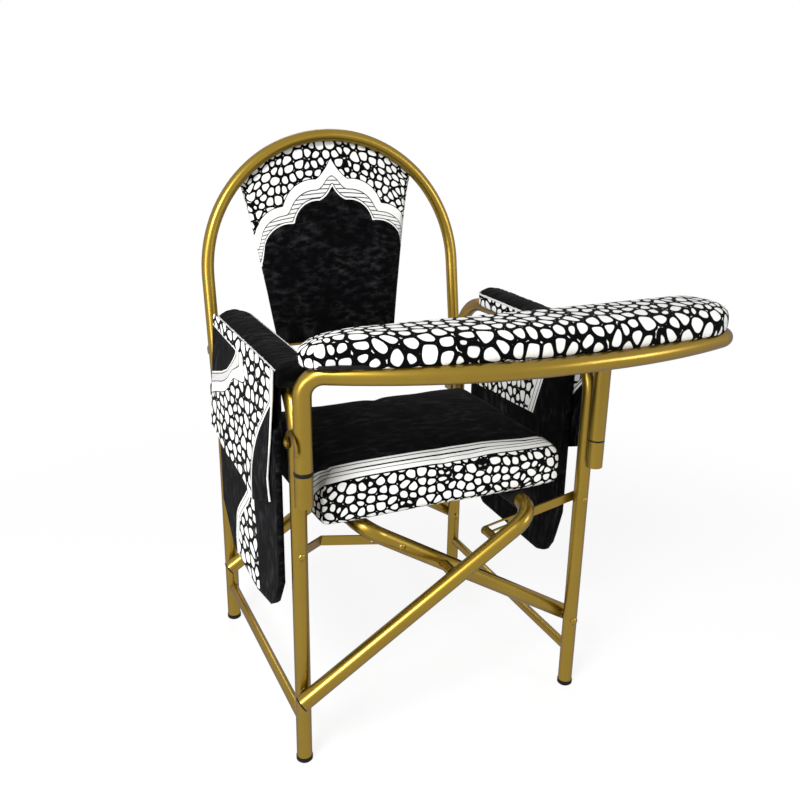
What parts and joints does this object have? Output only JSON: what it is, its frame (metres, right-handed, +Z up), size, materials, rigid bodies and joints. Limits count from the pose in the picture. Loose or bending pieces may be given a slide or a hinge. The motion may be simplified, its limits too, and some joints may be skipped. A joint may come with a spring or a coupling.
{
  "type": "folding prayer chair",
  "caption": "Folding prayer chair in gold-painted tube with a padded arch back, patterned plush cushions, side bags and a curved swing tray.",
  "frame": {"origin": "middle of the left front foot's underside, on the floor; this foot belongs to the side frame that stays put while the chair folds", "axes": "+X to the right as the chair is looked at from the front, +Y to the back, +Z up"},
  "size_m": [0.7119, 0.6896, 0.9121],
  "materials": {
    "gold_paint": "satin",
    "steel_fasteners": "satin",
    "rubber": "matte",
    "black_plastic": "matte",
    "black_cloth": "matte",
    "black_velvet": "matte",
    "patterned_plush": "matte",
    "board": "matte"
  },
  "bodies": {
    "left_frame": {"frame_tube_left": "gold_paint", "side_bar_left": "gold_paint", "foot_front_left": "rubber", "foot_rear_left": "rubber", "stay_rivet_left": "steel_fasteners", "arm_sleeve_left": "black_velvet", "side_bag_left": "black_velvet", "tray_socket": "gold_paint", "swivel_ring": "black_plastic", "hook_rivet": "steel_fasteners", "back_brackets_left": "gold_paint"},
    "cross_a": {"cross_tube_a": "gold_paint", "cross_caps_a": "black_plastic", "leg_pins_a": "steel_fasteners", "crossing_pins": "steel_fasteners", "stay_stud_a": "steel_fasteners", "rail_sleeve_a": "black_cloth"},
    "cross_b": {"cross_tube_b": "gold_paint", "cross_caps_b": "black_plastic", "leg_pins_b": "steel_fasteners", "stay_stud_b": "steel_fasteners", "rail_sleeve_b": "black_cloth"},
    "right_frame": {"frame_tube_right": "gold_paint", "side_bar_right": "gold_paint", "foot_front_right": "rubber", "foot_rear_right": "rubber", "stay_rivet_right": "steel_fasteners", "arm_sleeve_right": "black_velvet", "side_bag_right": "black_velvet", "tray_stub": "gold_paint", "stub_cap": "black_plastic", "back_brackets_right": "gold_paint"},
    "stay_left": {"stay_strap_left": "gold_paint"},
    "stay_right": {"stay_strap_right": "gold_paint"},
    "seat": {"seat_cushion": "black_velvet"},
    "tray": {"tray_tube": "gold_paint", "tray_post": "gold_paint", "tray_spigot": "steel_fasteners", "tray_board": "board", "tray_cushion": "patterned_plush"},
    "tray_hook": {"hook": "gold_paint"},
    "back": {"arch_tube": "gold_paint", "arch_posts": "gold_paint", "arch_caps": "black_plastic", "arch_collars": "black_plastic", "arch_crossbar": "gold_paint", "back_cushion": "black_velvet"},
    "flap_left": {"side_flap_left": "patterned_plush"},
    "flap_right": {"side_flap_right": "patterned_plush"}
  },
  "joints": [
    {"name": "fold", "type": "hinge", "parent": "left_frame", "child": "cross_a", "pos_m": [0, 0, 0.13], "axis": [0, -1, 0], "range_deg": [0, 38], "deforming": ["seat_cushion"]},
    {"name": "crossing", "type": "hinge", "parent": "cross_a", "child": "cross_b", "pos_m": [0.24, 0, 0.27997], "axis": [0, 1, 0], "range_deg": [0, 76.5]},
    {"name": "right_leg_pivot", "type": "hinge", "parent": "cross_b", "child": "right_frame", "pos_m": [0.48, 0, 0.13], "axis": [0, -1, 0], "range_deg": [0, 38.5]},
    {"name": "seat_level", "type": "hinge", "parent": "cross_a", "child": "seat", "pos_m": [0.37569, 0, 0.36476], "axis": [0, 1, 0], "range_deg": [0, 38.5]},
    {"name": "stay_left_turn", "type": "hinge", "parent": "left_frame", "child": "stay_left", "pos_m": [0, 0, 0.35676], "axis": [0, -1, 0], "range_deg": [0, 72.5]},
    {"name": "stay_right_turn", "type": "hinge", "parent": "right_frame", "child": "stay_right", "pos_m": [0.48, 0, 0.35676], "axis": [0, 1, 0], "range_deg": [0, 72.5]},
    {"name": "tray_swing", "type": "hinge", "parent": "left_frame", "child": "tray", "pos_m": [0, -0.027, 0.49], "axis": [0, 0, -1], "range_deg": [0, 135]},
    {"name": "hook_turn", "type": "hinge", "parent": "left_frame", "child": "tray_hook", "pos_m": [-0.0149, 0, 0.529], "axis": [-1, 0, 0], "range_deg": [0, 60]},
    {"name": "back_lift", "type": "slide", "parent": "left_frame", "child": "back", "axis": [0, 0, 1], "range_m": [0, 0.12]},
    {"name": "flap_left_lift", "type": "hinge", "parent": "left_frame", "child": "flap_left", "pos_m": [-0.0283, 0, 0.634], "axis": [0, 1, 0], "range_deg": [0, 90]},
    {"name": "flap_right_lift", "type": "hinge", "parent": "right_frame", "child": "flap_right", "pos_m": [0.5083, 0, 0.634], "axis": [0, -1, 0], "range_deg": [0, 90]}
  ],
  "couplings": [
    {"joint": "crossing", "follows": "fold", "ratio": 2},
    {"joint": "right_leg_pivot", "follows": "fold", "ratio": 1},
    {"joint": "seat_level", "follows": "fold", "ratio": 1},
    {"joint": "stay_left_turn", "follows": "fold", "ratio": 1.89},
    {"joint": "stay_right_turn", "follows": "fold", "ratio": 1.89}
  ]
}
